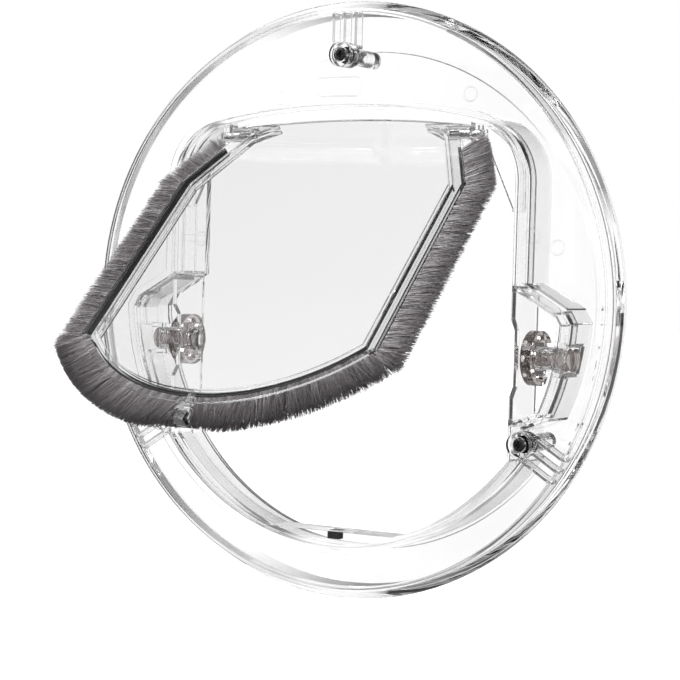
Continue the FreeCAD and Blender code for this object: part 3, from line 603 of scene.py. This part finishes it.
def make_screw(name, node):
    """Dark pan-head screw with a cross recess and a coarse helical thread, along +Y from its head."""
    low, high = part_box(node)
    centre = (low + high) / 2.0
    verts, faces = [], []
    around = 40
    arm, half = RECESS_ARM, RECESS_HALF_WIDTH

    def ring(y, radius):
        first = len(verts)
        for step in range(around):
            turn = 2.0 * math.pi * step / around
            verts.append(Vector((math.cos(turn) * radius, y, math.sin(turn) * radius)))
        return first

    def bridge(a, b):
        for step in range(around):
            after = (step + 1) % around
            faces.append((a + step, b + step, b + after, a + after))

    profile = [(0.0, 1.9 * MM), (0.18 * MM, 2.25 * MM), (0.5 * MM, 2.55 * MM), (1.0 * MM, SCREW_HEAD_RADIUS),
               (SCREW_HEAD_HEIGHT, SCREW_HEAD_RADIUS), (SCREW_HEAD_HEIGHT, SCREW_ROOT_RADIUS)]
    rings = [ring(y, radius) for y, radius in profile]
    for a, b in zip(rings, rings[1:]):
        bridge(a, b)
    cross = [(arm, half), (arm, -half), (half, -half), (half, -arm), (-half, -arm), (-half, -half),
             (-arm, -half), (-arm, half), (-half, half), (-half, arm), (half, arm), (half, half)]
    top = len(verts)
    for x, z in cross:
        verts.append(Vector((x, 0.0, z)))
    floor = len(verts)
    for x, z in cross:
        verts.append(Vector((x * RECESS_TAPER, RECESS_DEPTH, z * RECESS_TAPER)))
    faces.append(tuple(floor + i for i in range(RECESS_CORNERS)))
    for i in range(RECESS_CORNERS):
        j = (i + 1) % RECESS_CORNERS
        faces.append((top + i, floor + i, floor + j, top + j))
    turns = (SCREW_LENGTH - SCREW_POINT * 0.3) / SCREW_PITCH
    steps = int(turns * SCREW_TURN_STEPS)
    section = [(-0.5, 0.0), (-0.12, 1.0), (0.12, 1.0), (0.5, 0.0)]
    rows = []
    for step in range(steps + 1):
        y = SCREW_HEAD_HEIGHT + step / steps * (SCREW_LENGTH - 0.2 * MM)
        turn = 2.0 * math.pi * (step / SCREW_TURN_STEPS)
        left = SCREW_HEAD_HEIGHT + SCREW_LENGTH - y
        taper = min(1.0, max(0.25, left / SCREW_POINT))
        fade = min(1.0, (y - SCREW_HEAD_HEIGHT) / SCREW_THREAD_FADE)
        row = []
        for shift, height in section:
            radius = (SCREW_ROOT_RADIUS + (SCREW_RADIUS - SCREW_ROOT_RADIUS) * height * fade) * taper
            place = min(max(y + shift * SCREW_PITCH, SCREW_HEAD_HEIGHT), SCREW_HEAD_HEIGHT + SCREW_LENGTH)
            row.append(len(verts))
            verts.append(Vector((math.cos(turn) * radius, place, math.sin(turn) * radius)))
        rows.append(row)
    for a, b in zip(rows, rows[1:]):
        for i in range(3):
            faces.append((a[i], b[i], b[i + 1], a[i + 1]))
    tip_a = ring(SCREW_HEAD_HEIGHT + SCREW_LENGTH - SCREW_POINT, SCREW_ROOT_RADIUS * SCREW_CORE_SHARE)
    tip_b = ring(SCREW_HEAD_HEIGHT + SCREW_LENGTH, SCREW_ROOT_RADIUS * SCREW_TIP_SHARE)
    core = ring(SCREW_HEAD_HEIGHT, SCREW_ROOT_RADIUS * SCREW_CORE_SHARE)
    bridge(core, tip_a)
    bridge(tip_a, tip_b)
    faces.append(tuple(tip_b + i for i in range(around)))
    placed = [v + Vector((centre.x, low.y, centre.z)) for v in verts]
    screw = new_object(name, placed, faces, "frames", smooth=False)
    fill_head(screw, rings[0], around, top)
    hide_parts(node)
    return screw


def fill_head(screw, rim, count, cross):
    """Close the flat top of a screw head between its rim and the cross recess."""
    work = bmesh.new()
    work.from_mesh(screw.data)
    work.verts.ensure_lookup_table()
    work.edges.ensure_lookup_table()
    edges = []
    for first, number in ((rim, count), (cross, RECESS_CORNERS)):
        for i in range(number):
            edge = work.edges.get((work.verts[first + i], work.verts[first + (i + 1) % number]))
            edges.append(edge)
    bmesh.ops.triangle_fill(work, use_beauty=True, use_dissolve=False, edges=edges)
    bmesh.ops.recalc_face_normals(work, faces=work.faces)
    work.to_mesh(screw.data)
    work.free()


# Studio

def make_floor(floor_z):
    """White floor with a faint contact shadow, open to all but the camera, so that light comes from below."""
    bpy.ops.mesh.primitive_plane_add(size=FLOOR_SIZE, location=(0.0, 0.0, floor_z))
    floor = bpy.context.object
    floor.name = "floor"
    material, nodes, links, output = new_material("floor_white")
    shader = nodes.new("ShaderNodeBsdfPrincipled")
    shader.inputs["Base Color"].default_value = FLOOR_COLOUR
    shader.inputs["Roughness"].default_value = FLOOR_ROUGHNESS
    glow = nodes.new("ShaderNodeEmission")
    glow.inputs["Strength"].default_value = FLOOR_GLOW
    seen = nodes.new("ShaderNodeAddShader")
    links.new(shader.outputs["BSDF"], seen.inputs[0])
    links.new(glow.outputs["Emission"], seen.inputs[1])
    open_below = nodes.new("ShaderNodeBsdfTransparent")
    path = nodes.new("ShaderNodeLightPath")
    both = nodes.new("ShaderNodeMixShader")
    links.new(path.outputs["Is Camera Ray"], both.inputs["Fac"])
    links.new(open_below.outputs["BSDF"], both.inputs[1])
    links.new(seen.outputs["Shader"], both.inputs[2])
    links.new(both.outputs["Shader"], output.inputs["Surface"])
    floor.data.materials.append(material)


def make_surround():
    """White surround with four soft dark bands between the walls of light, as around a light tent."""
    world = bpy.data.worlds.new("studio")
    bpy.context.scene.world = world
    world.use_nodes = True
    nodes = world.node_tree.nodes
    links = world.node_tree.links
    nodes.clear()
    output = nodes.new("ShaderNodeOutputWorld")
    coords = nodes.new("ShaderNodeTexCoord")
    axes = nodes.new("ShaderNodeSeparateXYZ")
    links.new(coords.outputs["Generated"], axes.inputs["Vector"])
    azimuth = math_node(nodes, links, "ARCTAN2", axes.outputs["X"], axes.outputs["Y"])
    turned = math_node(nodes, links, "ADD", azimuth, CAMERA_TURN)
    wave = math_node(nodes, links, "COSINE", math_node(nodes, links, "MULTIPLY", turned, 4.0))
    side = ramp(nodes, links, math_node(nodes, links, "MULTIPLY_ADD", wave, 0.5, 0.5), WALL_TONES)
    level = math_node(nodes, links, "MULTIPLY_ADD", axes.outputs["Z"], 0.5, 0.5)
    height = ramp(nodes, links, level, HEIGHT_TONES)
    tone = nodes.new("ShaderNodeVectorMath")
    tone.operation = "MULTIPLY"
    links.new(side.outputs["Color"], tone.inputs[0])
    links.new(height.outputs["Color"], tone.inputs[1])
    lit = nodes.new("ShaderNodeBackground")
    lit.inputs["Strength"].default_value = BACKDROP
    links.new(tone.outputs["Vector"], lit.inputs["Color"])
    seen = nodes.new("ShaderNodeBackground")
    seen.inputs["Color"].default_value = (1.0, 1.0, 1.0, 1.0)
    path = nodes.new("ShaderNodeLightPath")
    mix = nodes.new("ShaderNodeMixShader")
    links.new(path.outputs["Is Camera Ray"], mix.inputs["Fac"])
    links.new(lit.outputs["Background"], mix.inputs[1])
    links.new(seen.outputs["Background"], mix.inputs[2])
    links.new(mix.outputs["Shader"], output.inputs["Surface"])


def make_lamps():
    for name, place, size, power in LAMPS:
        lamp = bpy.data.lights.new(name, "AREA")
        lamp.size = size
        lamp.energy = power
        lamp_object = bpy.data.objects.new(name, lamp)
        lamp_object.location = place
        lamp_object.rotation_euler = (-Vector(place)).to_track_quat("-Z", "Y").to_euler()
        lamp_object.visible_camera = False
        bpy.context.scene.collection.objects.link(lamp_object)


def make_camera():
    """The photo's camera: turned about Z, then pitched and rolled."""
    camera = bpy.data.cameras.new("camera")
    camera.sensor_fit = "HORIZONTAL"
    camera.angle = 2.0 * math.atan(IMAGE_SIZE / 2.0 / FOCAL_PIXELS)
    camera.clip_start = 0.01
    camera.clip_end = 30.0
    camera_object = bpy.data.objects.new("camera", camera)
    turn = Matrix.Rotation(CAMERA_TURN, 4, "Z")
    pitch = Matrix.Rotation(math.radians(90.0) + CAMERA_PITCH, 4, "X")
    roll = Matrix.Rotation(CAMERA_ROLL, 4, "Z")
    camera_object.matrix_world = Matrix.Translation(CAMERA_AT) @ turn @ pitch @ roll
    bpy.context.scene.collection.objects.link(camera_object)
    bpy.context.scene.camera = camera_object


make_camera()
make_floor(cad_box[0][2])
make_surround()
make_lamps()

# Painting the solids, and the pieces that replace some of them
WHITE = (1.0, 1.0, 1.0)
LIGHT = (0.97, 0.97, 0.97)
GREY = (0.5, 0.5, 0.51)
FRONT_CLEAR = clear_plastic("clear_front", WHITE, GREY, 2.0, LIGHT, FRAME_EDGE, FRONT_MARKS, outline=True)
REAR_CLEAR = clear_plastic("clear_rear", WHITE, GREY, 2.0, LIGHT, FRAME_EDGE, REAR_MARKS)
FLAP_CLEAR = clear_plastic("clear_flap", (0.90, 0.90, 0.902), GREY, 30.0, LIGHT, FLAP_EDGE)
CAP_CLEAR = clear_plastic("clear_cap", WHITE, GREY, 8.0, LIGHT, CAP_EDGE)
SMOKED = clear_plastic("smoked_plastic", (0.74, 0.70, 0.69), (0.38, 0.34, 0.33), 80.0, (0.6, 0.58, 0.57),
                       SMOKED_EDGE)
paint(["front_frame"], FRONT_CLEAR)
paint(["rear_frame"], REAR_CLEAR)
paint(["flap_panel", "magnet_clip"], FLAP_CLEAR)
paint(["lock_wheel_left", "lock_wheel_right"], SMOKED)
paint(["flap_magnet"],
      solid_finish("magnet_plated", (0.35, 0.35, 0.36), (0.55, 0.55, 0.56), 700.0, 0.2, metallic=1.0))
paint(["threshold_magnet", "magnet_keeper"],
      solid_finish("magnet_dark", (0.015, 0.015, 0.016), (0.05, 0.05, 0.052), 700.0, 0.35, metallic=0.6))
paint(["hinge_pin_left", "hinge_pin_right"],
      solid_finish("pin_steel", (0.5, 0.5, 0.5), (0.7, 0.7, 0.7), 1500.0, 0.22, metallic=1.0))

BACKING = solid_finish("backing_black", (0.003, 0.003, 0.003), (0.012, 0.012, 0.012), 900.0, 0.6)
for side in ("left", "right"):
    make_band(side).data.materials.append(BACKING)
    make_bolt(side).data.materials.append(SMOKED)
    make_cap(side).data.materials.append(CAP_CLEAR)

BRISTLE = bristle_finish("bristle_grey")
for side in ("left", "right"):
    make_brush(side).data.materials.append(BRISTLE)

SCREW = solid_finish("screw_dark", (0.02, 0.02, 0.022), (0.06, 0.06, 0.062), 1200.0, 0.28, metallic=0.9)
for place in ("top", "right", "left"):
    make_screw(f"threaded_screw_{place}", f"clamp_screw_{place}").data.materials.append(SCREW)

scene = bpy.context.scene
scene.view_settings.view_transform = "Standard"
scene.cycles.max_bounces = LIGHT_BOUNCES
scene.cycles.transmission_bounces = LIGHT_BOUNCES
scene.cycles.glossy_bounces = LIGHT_BOUNCES
scene.cycles.transparent_max_bounces = LIGHT_BOUNCES
